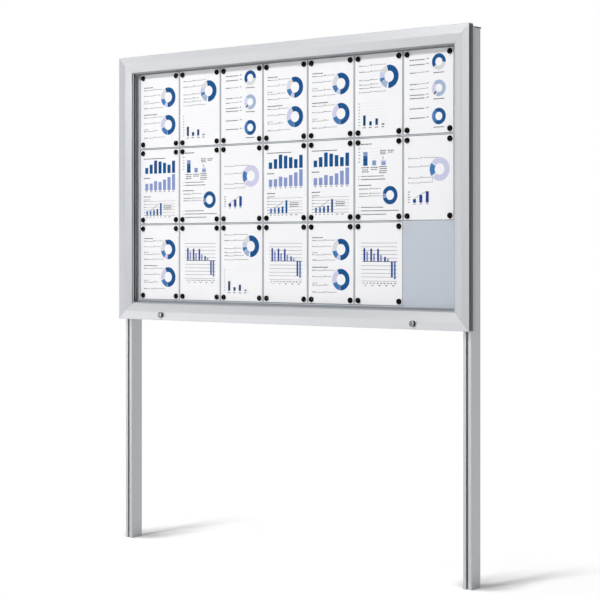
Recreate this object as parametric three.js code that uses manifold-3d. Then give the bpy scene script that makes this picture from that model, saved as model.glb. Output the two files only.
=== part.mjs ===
// A lockable outdoor notice board for posted A4 sheets. A flat aluminium case with a magnetic
// back panel sits on two slotted posts, which nest in the channels behind its stiles. A glazed
// door is hinged along the top of the case, is held up by a gas strut at each side, and is shut
// by two cam locks in its bottom rail.
// Millimetres, +Z up, the glazing faces -Y. The origin is on the ground, midway between the posts.

import * as THREE from 'three';
import { mergeVertices } from 'three/addons/utils/BufferGeometryUtils.js';
import Module from 'manifold-3d';

const wasm = await Module();
wasm.setup();

// Gaps and cuts
const fit = 0.3; // between pieces that touch or turn in each other
const overrun = 2; // how far a cut runs past the face it cuts
const weld = 0.8; // how far two joined shapes reach into each other

// Posted sheets and their magnets
const sheetWidth = 210;
const sheetHeight = 297;
const sheetThickness = 0.4;
const sheetColumns = 7;
const sheetRows = 3;
const sheetGapAcross = 3;
const sheetGapDown = 3;
const emptyPlaces = ['3_7'];
const magnetRadius = 10;
const magnetThickness = 5;
const magnetInset = 16; // from a sheet's edges to the magnet's centre

// Panel left bare around the sheets
const marginSide = 21;
const marginTop = 6;
const marginBottom = 16;

// Door frame section
const flatBand = 32; // width of the flat front face
const bevelBand = 31; // width of the face that slopes back to the glass
const bevelDrop = 9;
const doorDepth = 26;
const doorWall = 2.5;
const doorEdgeRound = 1.2;
const lipDepth = 14; // from the front face to the end of the lip round the glass
const flangeThickness = 2;
const flangeCover = 10; // how far the rear flange reaches over the glass

// Glazing
const glassThickness = 4;
const glassGrip = 12; // how far the glass reaches in behind the lip
const gasketThickness = 1.2;
const gasketWidth = 9;

// Door corner cleats
const cleatLeg = 70;
const cleatWidth = 24;
const cleatThickness = 5;

// Case
const caseDepth = 16;
const caseWall = 2.5;
const caseWeb = 2; // front wall of a stile, which the post behind it is bolted to
const caseInset = 1; // the case is this much smaller than the door at the sides and bottom
const caseDrop = 10; // the door stands this much above the case
const caseLip = 12; // ledge that carries the back panel
const panelThickness = 2;
const sealWidth = 3.5;

// Lock strike on the case's bottom rail
const strikeHeight = 8.5;
const strikeThickness = 2;

// Continuous hinge along the top
const hingeDrop = 5; // from the door's top to the hinge line
const hingeSetback = 7; // from the door's back to the hinge line
const knuckleRadius = 4;
const hingeRodRadius = 2;
const hingeLeaf = 2.5; // thickness of the two leaves
const hingeLeafWidth = 18; // of the door's leaf, from its front edge to the knuckles
const hingeEndInset = 10; // from the end of the case's top rail to the hinge
const knuckleCount = 15;

// Cam locks
const lockInset = 230; // from the door's side to the lock's centre
const lockHeight = 21; // from the door's bottom to the lock's centre
const lockHeadRadius = 11;
const lockHeadThickness = 9;
const lockHeadChamfer = 0.8;
const lockBarrelRadius = 8;
const lockBarrelLength = 20;
const lockNutRadius = 11.8;
const lockNutThickness = 4;
const plugRadius = 6;
const plugSpigotRadius = 4;
const keywayWidth = 2;
const keywayHeight = 7;
const keywayDepth = 3;
const camClearance = 0.5; // between the cam and the back of the strike
const camThickness = 2.5;
const camBossRadius = 8;
const camReach = 15.5;
const camTipWidth = 10;

// Gas struts
const strutInset = 22; // from the door's side to the strut's centre line
const strutLow = 400; // from the hinge line down to the stud on the case
const strutHigh = 120; // from the hinge line down to the stud on the door
const strutCaseDepth = 17; // from the front face back to the stud on the case
const strutDoorDepth = 12; // from the front face back to the stud on the door
const strutTubeRadius = 6.5;
const strutBoreRadius = 5.2;
const strutTubeLength = 185;
const strutFloor = 4;
const strutCapLength = 8;
const strutRodRadius = 3;
const strutPistonLength = 10;
const strutPistonRest = 12; // from the tube's floor to the piston when the door is shut
const strutEyeRadius = 7.5;
const strutEyeThickness = 6;
const strutNeck = 13; // from the stud's centre to the tube
const studRadius = 4;
const bracketThickness = 3;
const bracketInset = 10; // from the door's side to the bracket that carries the stud on the case
const socketRadius = 6;

// Posts
const postWidth = 34;
const postDepth = 60;
const postWall = 2.5;
const postCornerRadius = 3;
const postInset = 9; // from the door's side to the post's side
const slotWidth = 9;
const slotUndercutWidth = 18;
const slotUndercutDepth = 7;
const clearHeight = 880; // from the ground to the board's bottom
const capThickness = 3;
const capPlugDepth = 12;
const capOverhang = 3; // at the sides and the back

// Bolts that hang the case on the posts
const boltShankRadius = 3.8;
const boltHeadRadius = 7.5;
const boltHeadThickness = 5.3;
const slotNutThickness = 5;
const slotNutWidth = 16;
const upperBoltDrop = 85; // from the door's top
const lowerBoltRise = 120; // from the door's bottom

// How finely round shapes are cut
const arcSteps = 2;
const holeSteps = 8;
const roundSides = 16;
const magnetSides = 12;
const finePinSides = 12;

// Sizes that follow
const band = flatBand + bevelBand;
const openingWidth = sheetColumns * sheetWidth + (sheetColumns - 1) * sheetGapAcross + 2 * marginSide;
const openingHeight = sheetRows * sheetHeight + (sheetRows - 1) * sheetGapDown + marginTop + marginBottom;
const doorWidth = openingWidth + 2 * band;
const doorHeight = openingHeight + 2 * band;
const gasketFront = lipDepth + fit;
const glassFront = gasketFront + gasketThickness + fit;
const flangeFront = glassFront + glassThickness + fit;
const flangeBack = flangeFront + flangeThickness;
const innerWall = band - glassGrip - fit; // the door's inner wall, from its outer edge
const caseFront = doorDepth + fit;
const caseBack = caseFront + caseDepth;
const caseWidth = doorWidth - 2 * caseInset;
const caseHeight = doorHeight - caseDrop - caseInset;
const caseMiddle = caseInset + caseHeight / 2;
const sideBand = band - caseInset;
const topBand = band - caseDrop;
const panelBack = caseBack - caseWall - fit;
const panelFront = panelBack - panelThickness;
const stileInner = caseInset + sideBand; // the inner face of a case stile, from the door's side
const railLength = doorWidth - 2 * (stileInner + fit);
const hingeDepth = doorDepth + hingeSetback;
const hingeHeight = doorHeight - hingeDrop;
const hingeLength = railLength - 2 * hingeEndInset;
const postFront = caseFront + caseWeb + fit;
const postBack = postFront + postDepth;
const postTop = doorHeight - caseDrop;
const postMiddle = doorWidth / 2 - postInset - postWidth / 2;
const slotFloor = postWall + slotUndercutDepth;
const lockFront = -fit - lockHeadThickness;
const camFront = caseFront + strikeThickness + camClearance;
const strutFoot = new THREE.Vector2(strutCaseDepth, hingeHeight - strutLow);
const strutHead = new THREE.Vector2(strutDoorDepth, hingeHeight - strutHigh);
const strutLength = strutFoot.distanceTo(strutHead);
const strutLean = Math.atan2(strutFoot.x - strutHead.x, strutHead.y - strutFoot.y);

// Finishes
const anodised = new THREE.MeshStandardMaterial({ color: '#c9cbcd', roughness: 0.42, metalness: 0.85 });
const postAnodised = new THREE.MeshStandardMaterial({ color: '#bfc0c2', roughness: 0.45, metalness: 0.85 });
const panelEnamel = new THREE.MeshStandardMaterial({ color: '#c0c8d0', roughness: 0.5, metalness: 0 });
const paper = new THREE.MeshStandardMaterial({ color: '#f4f4f6', roughness: 0.9, metalness: 0 });
const clearGlass = new THREE.MeshStandardMaterial({ color: '#eef4f4', roughness: 0.03, metalness: 0 });
clearGlass.transparent = true;
clearGlass.opacity = 0.2;
const sealRubber = new THREE.MeshStandardMaterial({ color: '#1c1e20', roughness: 0.8, metalness: 0 });
const capPlastic = new THREE.MeshStandardMaterial({ color: '#4a4d50', roughness: 0.6, metalness: 0 });
const lockChrome = new THREE.MeshStandardMaterial({ color: '#b9bcc0', roughness: 0.18, metalness: 1 });
const zincSteel = new THREE.MeshStandardMaterial({ color: '#a7abae', roughness: 0.4, metalness: 0.9 });
const strutBlack = new THREE.MeshStandardMaterial({ color: '#26282b', roughness: 0.35, metalness: 0.3 });

// Solids that can be joined and cut
function solid(geometry) {
  const bare = geometry.clone();
  bare.deleteAttribute('normal');
  bare.deleteAttribute('uv');
  const merged = mergeVertices(bare);
  const vertProperties = Float32Array.from(merged.getAttribute('position').array);
  const triVerts = Uint32Array.from(merged.index.array);
  return new wasm.Manifold(new wasm.Mesh({ numProp: 3, vertProperties, triVerts }));
}

function geometryOf(shape) {
  const { vertProperties, triVerts } = shape.getMesh();
  const geometry = new THREE.BufferGeometry();
  geometry.setAttribute('position', new THREE.BufferAttribute(vertProperties, 3));
  geometry.setIndex(new THREE.BufferAttribute(triVerts, 1));
  geometry.computeVertexNormals();
  return geometry;
}

function join(shape, extras) {
  return extras.reduce((whole, extra) => whole.add(solid(extra)), shape);
}

function cut(shape, cutters) {
  return cutters.reduce((whole, cutter) => whole.subtract(solid(cutter)), shape);
}

// Simple shapes placed by their limits
function block(x0, x1, y0, y1, z0, z1) {
  const box = new THREE.BoxGeometry(x1 - x0, y1 - y0, z1 - z0);
  return box.translate((x0 + x1) / 2, (y0 + y1) / 2, (z0 + z1) / 2);
}

function roundAlongX(radius, x0, x1, sides = roundSides) {
  const round = new THREE.CylinderGeometry(radius, radius, x1 - x0, sides);
  return round.rotateZ(Math.PI / 2).translate((x0 + x1) / 2, 0, 0);
}

function roundAlongY(radius, y0, y1, sides = roundSides) {
  const round = new THREE.CylinderGeometry(radius, radius, y1 - y0, sides);
  return round.translate(0, (y0 + y1) / 2, 0);
}

function roundAlongZ(radius, z0, z1, sides = roundSides) {
  const round = new THREE.CylinderGeometry(radius, radius, z1 - z0, sides);
  return round.rotateX(Math.PI / 2).translate(0, 0, (z0 + z1) / 2);
}

function turned(profile) {
  return new THREE.LatheGeometry(profile.map(([r, y]) => new THREE.Vector2(r, y)), roundSides);
}

function outline(points) {
  return new THREE.Shape(points.map(([x, y]) => new THREE.Vector2(x, y)));
}

function pressed(shape, thickness, curveSegments = arcSteps) {
  return new THREE.ExtrudeGeometry(shape, { depth: thickness, bevelEnabled: false, curveSegments });
}

// A flat ring round the opening, between two distances in from the door's outer edge
function openingRing(outer, inner, y0, y1) {
  const rectangle = (inset) => {
    const x = doorWidth / 2 - inset;
    return [[-x, inset], [x, inset], [x, doorHeight - inset], [-x, doorHeight - inset]];
  };
  const shape = outline(rectangle(outer));
  shape.holes.push(outline(rectangle(inner)));
  return pressed(shape, y1 - y0).rotateX(Math.PI / 2).translate(0, y1, 0);
}

// A frame rail in its own frame: +X runs in from the frame's outer edge, +Y runs back, and the
// rail lies along Z.
function squareRail(section, length) {
  return pressed(section, length).translate(0, 0, -length / 2);
}

function mitredRail(section, length) {
  const rail = squareRail(section, length);
  const corners = rail.getAttribute('position');
  for (let i = 0; i < corners.count; i += 1) {
    const reach = length / 2 - corners.getX(i) - fit;
    corners.setZ(i, corners.getZ(i) > 0 ? reach : -reach);
  }
  return rail;
}

// Sections of the door and the case
function doorSection() {
  const bevelWall = doorWall * Math.hypot(bevelBand, bevelDrop) / bevelBand;
  const bevelBack = (x) => bevelDrop * (x - flatBand) / bevelBand + bevelWall;
  const lipBack = band - doorWall;
  const wallOuter = innerWall - doorWall;
  const fold = flatBand - (bevelWall - doorWall) * bevelBand / bevelDrop;
  const section = new THREE.Shape();
  section.moveTo(0, doorEdgeRound);
  section.absarc(doorEdgeRound, doorEdgeRound, doorEdgeRound, Math.PI, Math.PI * 1.5, false);
  section.lineTo(flatBand, 0);
  section.lineTo(band, bevelDrop);
  section.lineTo(band, lipDepth);
  section.lineTo(lipBack, lipDepth);
  section.lineTo(lipBack, bevelBack(lipBack));
  section.lineTo(innerWall, bevelBack(innerWall));
  section.lineTo(innerWall, flangeFront);
  section.lineTo(innerWall + flangeCover, flangeFront);
  section.lineTo(innerWall + flangeCover, flangeBack);
  section.lineTo(innerWall, flangeBack);
  section.lineTo(innerWall, doorDepth);
  section.lineTo(wallOuter, doorDepth);
  section.lineTo(wallOuter, bevelBack(wallOuter));
  section.lineTo(fold, doorWall);
  section.lineTo(doorWall, doorWall);
  section.lineTo(doorWall, doorDepth);
  section.lineTo(0, doorDepth);
  section.closePath();
  return section;
}

// A channel open to the back, where the post goes, with a ledge for the panel on its inner wall
function caseStileSection() {
  const webBack = caseFront + caseWeb;
  const ledgeFront = caseBack - caseWall;
  return outline([
    [0, caseFront],
    [sideBand, caseFront],
    [sideBand, ledgeFront],
    [sideBand + caseLip, ledgeFront],
    [sideBand + caseLip, caseBack],
    [sideBand - caseWall, caseBack],
    [sideBand - caseWall, webBack],
    [caseWall, webBack],
    [caseWall, caseBack],
    [0, caseBack],
  ]);
}

// A channel open to the front, with the same ledge; a strike for the lock cams can stand on it
function caseRailSection(width, strike) {
  const baseFront = caseBack - caseWall;
  const strikeTop = caseWall + strikeHeight;
  const strikeBack = caseFront + strikeThickness;
  const strikeEdge = [[strikeTop, caseFront], [strikeTop, strikeBack], [caseWall, strikeBack]];
  return outline([
    [0, caseFront],
    ...(strike ? strikeEdge : [[caseWall, caseFront]]),
    [caseWall, baseFront],
    [width - caseWall, baseFront],
    [width - caseWall, caseFront],
    [width, caseFront],
    [width, baseFront],
    [width + caseLip, baseFront],
    [width + caseLip, caseBack],
    [0, caseBack],
  ]);
}

// One leaf of the continuous hinge, along a top rail: it has every other knuckle, and tabs join
// them to its strip
function hingeLeafOf(mine, hingeX, strip, tabs) {
  const pitch = hingeLength / knuckleCount;
  const shapes = [];
  for (let i = mine; i < knuckleCount; i += 2) {
    const z0 = -hingeLength / 2 + i * pitch + fit;
    const z1 = z0 + pitch - 2 * fit;
    shapes.push(roundAlongZ(knuckleRadius, z0, z1).translate(hingeX, hingeDepth, 0), ...tabs(z0, z1));
  }
  const reach = hingeLength / 2 + overrun;
  const bore = roundAlongZ(hingeRodRadius + fit, -reach, reach, finePinSides).translate(hingeX, hingeDepth, 0);
  return geometryOf(cut(join(solid(strip), shapes), [bore]));
}

// The door's leaf lies under the outer wall of the door's top rail
function hingeDoorLeaf() {
  const outer = doorWall + fit;
  const inner = outer + hingeLeaf;
  const back = hingeDepth - knuckleRadius - fit;
  const strip = block(outer, inner, back - hingeLeafWidth, back, -hingeLength / 2, hingeLength / 2);
  const tabs = (z0, z1) => [block(outer, inner, back - weld, hingeDepth, z0, z1)];
  return hingeLeafOf(1, hingeDrop, strip, tabs);
}

// The case's leaf lies on top of the case, behind the knuckles
function hingeCaseLeaf() {
  const hingeX = hingeDrop - caseDrop;
  const outer = -fit - hingeLeaf;
  const knuckleBack = hingeDepth + knuckleRadius;
  const strip = block(outer, -fit, knuckleBack + fit, caseBack, -hingeLength / 2, hingeLength / 2);
  const tabs = (z0, z1) => [
    block(hingeX, -fit, knuckleBack - hingeLeaf, knuckleBack, z0, z1),
    block(outer, -fit, knuckleBack - hingeLeaf, knuckleBack + fit + weld, z0, z1),
  ];
  return hingeLeafOf(0, hingeX, strip, tabs);
}

// Where each rail of a frame goes: its outer edge, and the turn that points its +X inwards
function framePlaces(width, low, high) {
  return {
    left: { x: -width / 2, z: (low + high) / 2, turn: 0 },
    right: { x: width / 2, z: (low + high) / 2, turn: Math.PI },
    top: { x: 0, z: high, turn: Math.PI / 2 },
    bottom: { x: 0, z: low, turn: -Math.PI / 2 },
  };
}

// The door's rails
function doorStile(side) {
  const up = side === 'left' ? 1 : -1;
  const stud = roundAlongX(studRadius, doorWall - weld, strutInset - strutEyeThickness / 2 - fit, finePinSides);
  stud.translate(0, strutHead.x, up * (strutHead.y - doorHeight / 2));
  return geometryOf(join(solid(mitredRail(doorSection(), doorHeight)), [stud]));
}

function doorTopRail() {
  return mitredRail(doorSection(), doorWidth);
}

function doorBottomRail() {
  const holes = [-1, 1].map((side) => {
    const hole = roundAlongY(lockBarrelRadius + fit, -overrun, doorWall + overrun);
    return hole.translate(lockHeight, 0, side * (doorWidth / 2 - lockInset));
  });
  return geometryOf(cut(solid(mitredRail(doorSection(), doorWidth)), holes));
}

function cornerCleat() {
  const leg = outline([[0, 0], [cleatLeg, 0], [cleatLeg, cleatWidth], [cleatWidth, cleatWidth],
    [cleatWidth, cleatLeg], [0, cleatLeg]]);
  return pressed(leg, cleatThickness).rotateX(Math.PI / 2).translate(0, cleatThickness, 0);
}

// The case's rails
function caseStile(side) {
  const up = side === 'left' ? 1 : -1;
  const footHeight = up * (strutFoot.y - caseMiddle);
  const plateX = bracketInset - caseInset;
  const plateFront = strutFoot.x - strutEyeRadius;
  const plate = block(plateX, plateX + bracketThickness, plateFront, caseFront + weld,
    footHeight - strutEyeRadius, footHeight + strutEyeRadius);
  const studEnd = strutInset - caseInset + strutEyeThickness / 2 + fit;
  const stud = roundAlongX(studRadius, plateX + bracketThickness - weld, studEnd, finePinSides);
  stud.translate(0, strutFoot.x, footHeight);
  const boltHoles = [doorHeight - upperBoltDrop, lowerBoltRise].map((height) => {
    const hole = roundAlongY(boltShankRadius + fit, caseFront - overrun, caseFront + caseWeb + overrun);
    return hole.translate(postInset + postWidth / 2 - caseInset, 0, up * (height - caseMiddle));
  });
  const ledgeEnds = [[topBand, up], [sideBand, -up]].map(([width, end]) => {
    const inner = end * (caseHeight / 2 - width - caseLip - fit);
    const outer = end * (caseHeight / 2 + overrun);
    return block(sideBand, sideBand + caseLip + overrun, caseBack - caseWall - overrun, caseBack + overrun,
      Math.min(inner, outer), Math.max(inner, outer));
  });
  const rail = solid(squareRail(caseStileSection(), caseHeight));
  return geometryOf(cut(join(rail, [plate, stud]), [...boltHoles, ...ledgeEnds]));
}

function caseTopRail() {
  return squareRail(caseRailSection(topBand, false), railLength);
}

function caseBottomRail() {
  return squareRail(caseRailSection(sideBand, true), railLength);
}

// Cam lock, turned about its own axis along +Y, with its place at the door's front face
function lockHousing() {
  const bore = plugRadius + fit;
  return turned([
    [bore, lockFront],
    [lockHeadRadius - lockHeadChamfer, lockFront],
    [lockHeadRadius, lockFront + lockHeadChamfer],
    [lockHeadRadius, -fit],
    [lockBarrelRadius, -fit],
    [lockBarrelRadius, lockBarrelLength],
    [bore, lockBarrelLength],
    [bore, lockFront],
  ]);
}

function lockNut() {
  const across = roundAlongY(lockNutRadius, 0, lockNutThickness, 6).rotateY(Math.PI / 6);
  const bore = roundAlongY(lockBarrelRadius + fit, -overrun, lockNutThickness + overrun);
  return geometryOf(cut(solid(across), [bore]));
}

function lockPlug() {
  const shoulder = camFront - fit;
  const end = camFront + camThickness + fit;
  const front = lockFront + fit;
  const plug = turned([[0, front], [plugRadius, front], [plugRadius, shoulder],
    [plugSpigotRadius, shoulder], [plugSpigotRadius, end], [0, end]]);
  const keyway = block(-keywayWidth / 2, keywayWidth / 2, front - overrun, front + keywayDepth,
    -keywayHeight / 2, keywayHeight / 2);
  return geometryOf(cut(solid(plug), [keyway]));
}

function lockCam() {
  const arm = new THREE.Shape();
  arm.absarc(0, 0, camBossRadius, Math.PI / 3, Math.PI * 5 / 3, false);
  arm.lineTo(camReach, -camTipWidth / 2);
  arm.lineTo(camReach, camTipWidth / 2);
  arm.closePath();
  const hole = new THREE.Path();
  hole.absarc(0, 0, plugSpigotRadius + fit, 0, Math.PI * 2, true);
  arm.holes.push(hole);
  return pressed(arm, camThickness, holeSteps).rotateX(Math.PI / 2).translate(0, camThickness, 0);
}

// Gas strut, with its foot at the origin and its length along +Y
function strutTube() {
  const start = strutNeck - weld;
  const top = strutNeck + strutTubeLength;
  const neck = strutRodRadius + fit;
  const tube = turned([[0, start], [strutTubeRadius, start], [strutTubeRadius, top], [neck, top],
    [neck, top - strutCapLength], [strutBoreRadius, top - strutCapLength],
    [strutBoreRadius, strutNeck + strutFloor], [0, strutNeck + strutFloor]]);
  const half = strutEyeThickness / 2;
  const eye = [roundAlongX(strutEyeRadius, -half, half), block(-half, half, 0, strutNeck, -half, half)];
  return geometryOf(cut(join(solid(tube), eye), [roundAlongX(studRadius + fit, -half - overrun, half + overrun)]));
}

function strutRod() {
  const piston = strutNeck + strutFloor + strutPistonRest;
  const rod = turned([[0, piston], [strutBoreRadius - fit, piston],
    [strutBoreRadius - fit, piston + strutPistonLength], [strutRodRadius, piston + strutPistonLength],
    [strutRodRadius, strutLength], [0, strutLength]]);
  const half = strutEyeThickness / 2;
  return geometryOf(join(solid(rod), [roundAlongX(socketRadius, -half, half).translate(0, strutLength, 0)]));
}

// Posts: a hollow extrusion with a T-slot down the middle of its front face
function roundedRectangle(x, y0, y1, radius) {
  const shape = new THREE.Shape();
  shape.absarc(x - radius, y0 + radius, radius, -Math.PI / 2, 0, false);
  shape.absarc(x - radius, y1 - radius, radius, 0, Math.PI / 2, false);
  shape.absarc(-x + radius, y1 - radius, radius, Math.PI / 2, Math.PI, false);
  shape.absarc(-x + radius, y0 + radius, radius, Math.PI, Math.PI * 1.5, false);
  return shape;
}

function postSection() {
  const shape = roundedRectangle(postWidth / 2, 0, postDepth, postCornerRadius);
  shape.lineTo(-slotWidth / 2, 0);
  shape.lineTo(-slotWidth / 2, postWall);
  shape.lineTo(-slotUndercutWidth / 2, postWall);
  shape.lineTo(-slotUndercutWidth / 2, slotFloor);
  shape.lineTo(slotUndercutWidth / 2, slotFloor);
  shape.lineTo(slotUndercutWidth / 2, postWall);
  shape.lineTo(slotWidth / 2, postWall);
  shape.lineTo(slotWidth / 2, 0);
  shape.closePath();
  const x = postWidth / 2 - postWall;
  shape.holes.push(outline([[-x, slotFloor + postWall], [-x, postDepth - postWall],
    [x, postDepth - postWall], [x, slotFloor + postWall]]));
  return shape;
}

function post() {
  return pressed(postSection(), clearHeight + postTop);
}

function postCap() {
  const x = postWidth / 2;
  const top = roundedRectangle(x + capOverhang, 0, postDepth + capOverhang, postCornerRadius);
  const plate = solid(pressed(top, capThickness).translate(0, 0, fit));
  const plugX = x - postWall - fit;
  const plug = block(-plugX, plugX, slotFloor + postWall + fit, postDepth - postWall - fit,
    -capPlugDepth, fit + weld);
  return geometryOf(join(plate, [plug]));
}

// Bolt through the case's web into a nut that slides in the post's slot
function postBolt() {
  const headBack = caseFront - fit;
  const nutFront = postFront + postWall + fit;
  const nutBack = nutFront + slotNutThickness;
  const head = solid(roundAlongY(boltHeadRadius, headBack - boltHeadThickness, headBack, 6));
  const half = slotNutWidth / 2;
  return geometryOf(join(head, [
    roundAlongY(boltShankRadius, headBack - weld, nutFront + weld),
    block(-half, half, nutFront, nutBack, -half, half),
  ]));
}

// A posted sheet with the four magnets that hold it, standing on its lower edge
function postedSheet() {
  const paperFront = panelFront - fit - sheetThickness;
  const sheet = solid(block(-sheetWidth / 2, sheetWidth / 2, paperFront, panelFront - fit, 0, sheetHeight));
  const magnets = [];
  for (const x of [-sheetWidth / 2 + magnetInset, sheetWidth / 2 - magnetInset]) {
    for (const z of [magnetInset, sheetHeight - magnetInset]) {
      const disc = roundAlongY(magnetRadius, paperFront - magnetThickness, paperFront + sheetThickness / 2,
        magnetSides);
      magnets.push(disc.translate(x, 0, z));
    }
  }
  return geometryOf(join(sheet, magnets));
}

// Assembly
const noticeBoard = new THREE.Group();
const board = new THREE.Group();
const door = new THREE.Group();
noticeBoard.add(board);
board.add(door);
noticeBoard.position.y = -(lockFront + postBack + capOverhang) / 2;
board.position.z = clearHeight;

function add(parent, name, geometry, material, x = 0, y = 0, z = 0) {
  const mesh = new THREE.Mesh(geometry, material);
  mesh.name = name;
  mesh.position.set(x, y, z);
  parent.add(mesh);
  return mesh;
}

function addRail(parent, name, geometry, place) {
  add(parent, name, geometry, anodised, place.x, 0, place.z).rotation.y = place.turn;
}

const doorPlaces = framePlaces(doorWidth, 0, doorHeight);
addRail(door, 'door_left_stile', doorStile('left'), doorPlaces.left);
addRail(door, 'door_right_stile', doorStile('right'), doorPlaces.right);
addRail(door, 'door_top_rail', doorTopRail(), doorPlaces.top);
addRail(door, 'door_bottom_rail', doorBottomRail(), doorPlaces.bottom);

const casePlaces = framePlaces(caseWidth, caseInset, caseInset + caseHeight);
addRail(board, 'case_left_stile', caseStile('left'), casePlaces.left);
addRail(board, 'case_right_stile', caseStile('right'), casePlaces.right);
addRail(board, 'case_top_rail', caseTopRail(), casePlaces.top);
addRail(board, 'case_bottom_rail', caseBottomRail(), casePlaces.bottom);

const glassEdge = band - glassGrip;
add(door, 'door_glass', block(glassEdge - doorWidth / 2, doorWidth / 2 - glassEdge, glassFront,
  glassFront + glassThickness, glassEdge, doorHeight - glassEdge), clearGlass);
add(door, 'glazing_gasket', openingRing(band - gasketWidth, band, gasketFront, gasketFront + gasketThickness),
  sealRubber);
add(board, 'weather_seal', openingRing(band - sealWidth, band, flangeBack + fit, caseFront - fit), sealRubber);

const panelEdge = band + fit;
add(board, 'back_panel', block(panelEdge - doorWidth / 2, doorWidth / 2 - panelEdge, panelFront, panelBack,
  panelEdge, doorHeight - panelEdge), panelEnamel);

addRail(door, 'hinge_door_leaf', hingeDoorLeaf(), doorPlaces.top);
addRail(board, 'hinge_case_leaf', hingeCaseLeaf(), casePlaces.top);
const rodReach = hingeLength / 2 - fit;
add(board, 'hinge_rod', roundAlongX(hingeRodRadius, -rodReach, rodReach, finePinSides), zincSteel,
  0, hingeDepth, hingeHeight);

const cleatEdge = doorWall + fit;
const cleats = [
  ['door_cleat_bottom_left', -1, 0, 0],
  ['door_cleat_bottom_right', 1, 0, -Math.PI / 2],
  ['door_cleat_top_right', 1, doorHeight, Math.PI],
  ['door_cleat_top_left', -1, doorHeight, Math.PI / 2],
];
for (const [name, side, edge, turn] of cleats) {
  const z = edge > 0 ? edge - cleatEdge : cleatEdge;
  add(door, name, cornerCleat(), zincSteel, side * (doorWidth / 2 - cleatEdge), cleatEdge, z).rotation.y = turn;
}

for (const [hand, side] of [['left', -1], ['right', 1]]) {
  const lockX = side * (doorWidth / 2 - lockInset);
  add(door, `lock_housing_${hand}`, lockHousing(), lockChrome, lockX, 0, lockHeight);
  add(door, `lock_nut_${hand}`, lockNut(), zincSteel, lockX, doorWall + fit, lockHeight);
  add(door, `lock_plug_${hand}`, lockPlug(), lockChrome, lockX, 0, lockHeight);
  const cam = add(door, `lock_cam_${hand}`, lockCam(), zincSteel, lockX, camFront, lockHeight);
  cam.rotation.y = side < 0 ? 0 : Math.PI;

  const strut = new THREE.Group();
  strut.position.set(side * (doorWidth / 2 - strutInset), strutFoot.x, strutFoot.y);
  strut.rotation.x = Math.PI / 2 + strutLean;
  board.add(strut);
  add(strut, `strut_tube_${hand}`, strutTube(), strutBlack);
  add(strut, `strut_rod_${hand}`, strutRod(), lockChrome);

  const postX = side * postMiddle;
  add(board, `post_${hand}`, post(), postAnodised, postX, postFront, -clearHeight);
  add(board, `post_cap_${hand}`, postCap(), capPlastic, postX, postFront, postTop);
  for (const [level, height] of [['upper', doorHeight - upperBoltDrop], ['lower', lowerBoltRise]]) {
    add(board, `post_bolt_${hand}_${level}`, postBolt(), zincSteel, postX, 0, height);
  }
}

for (let row = 1; row <= sheetRows; row += 1) {
  for (let column = 1; column <= sheetColumns; column += 1) {
    const x = (column - (sheetColumns + 1) / 2) * (sheetWidth + sheetGapAcross);
    const z = doorHeight - band - marginTop - row * sheetHeight - (row - 1) * sheetGapDown;
    if (!emptyPlaces.includes(`${row}_${column}`)) {
      add(board, `posted_sheet_${row}_${column}`, postedSheet(), paper, x, 0, z);
    }
  }
}

export default noticeBoard;
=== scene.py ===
# %% [markdown]
# A lockable outdoor notice board for A4 sheets: a flat aluminium case on two posts, with a glazed
# door that is hinged along the top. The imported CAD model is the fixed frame. Nodes whose shape is
# right keep it and get a finish here. Nodes that need softer folds, finer turning or print are
# replaced by pieces made in mesh code, which ride on the same bodies.

# %% Load the frame
import math
import random

import bmesh
import bpy
from mathutils import Matrix, Vector


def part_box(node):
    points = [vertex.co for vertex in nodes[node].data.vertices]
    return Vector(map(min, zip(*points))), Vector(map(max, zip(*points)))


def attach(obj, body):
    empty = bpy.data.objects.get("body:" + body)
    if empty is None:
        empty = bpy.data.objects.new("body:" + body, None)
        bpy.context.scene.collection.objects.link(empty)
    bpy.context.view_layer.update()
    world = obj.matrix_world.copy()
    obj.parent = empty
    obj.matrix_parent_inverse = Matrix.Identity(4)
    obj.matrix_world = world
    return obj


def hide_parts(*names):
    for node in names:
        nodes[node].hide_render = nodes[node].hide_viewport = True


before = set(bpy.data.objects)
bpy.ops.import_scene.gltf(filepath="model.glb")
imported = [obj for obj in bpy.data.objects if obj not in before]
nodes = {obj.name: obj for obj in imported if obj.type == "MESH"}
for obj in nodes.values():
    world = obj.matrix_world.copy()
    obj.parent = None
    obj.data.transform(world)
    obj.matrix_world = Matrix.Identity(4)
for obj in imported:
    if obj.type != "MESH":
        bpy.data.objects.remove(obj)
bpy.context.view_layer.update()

# %% [markdown]
# The camera comes first, because each later choice is judged through it. The board stands well to
# the left of the view's axis and its upright edges stay parallel, so the camera is level, turned
# to the left, and keeps its horizon with a small vertical shift.

# %% Camera
CAMERA_PLACE = (3.7627, -4.6613, 1.161)
CAMERA_TURN = math.radians(38.41)
CAMERA_LENS, SENSOR_WIDTH = 96.7, 36
HORIZON_SHIFT = -0.0856
VIEW_REACH = 100

camera_data = bpy.data.cameras.new("camera")
camera_data.sensor_width = SENSOR_WIDTH
camera_data.lens = CAMERA_LENS
camera_data.shift_y = HORIZON_SHIFT
camera_data.clip_end = VIEW_REACH
camera = bpy.data.objects.new("camera", camera_data)
camera.location = CAMERA_PLACE
camera.rotation_euler = (math.pi / 2, 0, CAMERA_TURN)
bpy.context.scene.collection.objects.link(camera)
bpy.context.scene.camera = camera
bpy.context.scene.view_settings.view_transform = "Standard"

# %% [markdown]
# A few helpers serve every material. Colours are written as they look on a screen, in sRGB hex, and
# Blender works in linear light, so one function turns one into the other. Another adds a shader
# node, sets its settings, and fills its inputs with numbers or with links.

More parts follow.
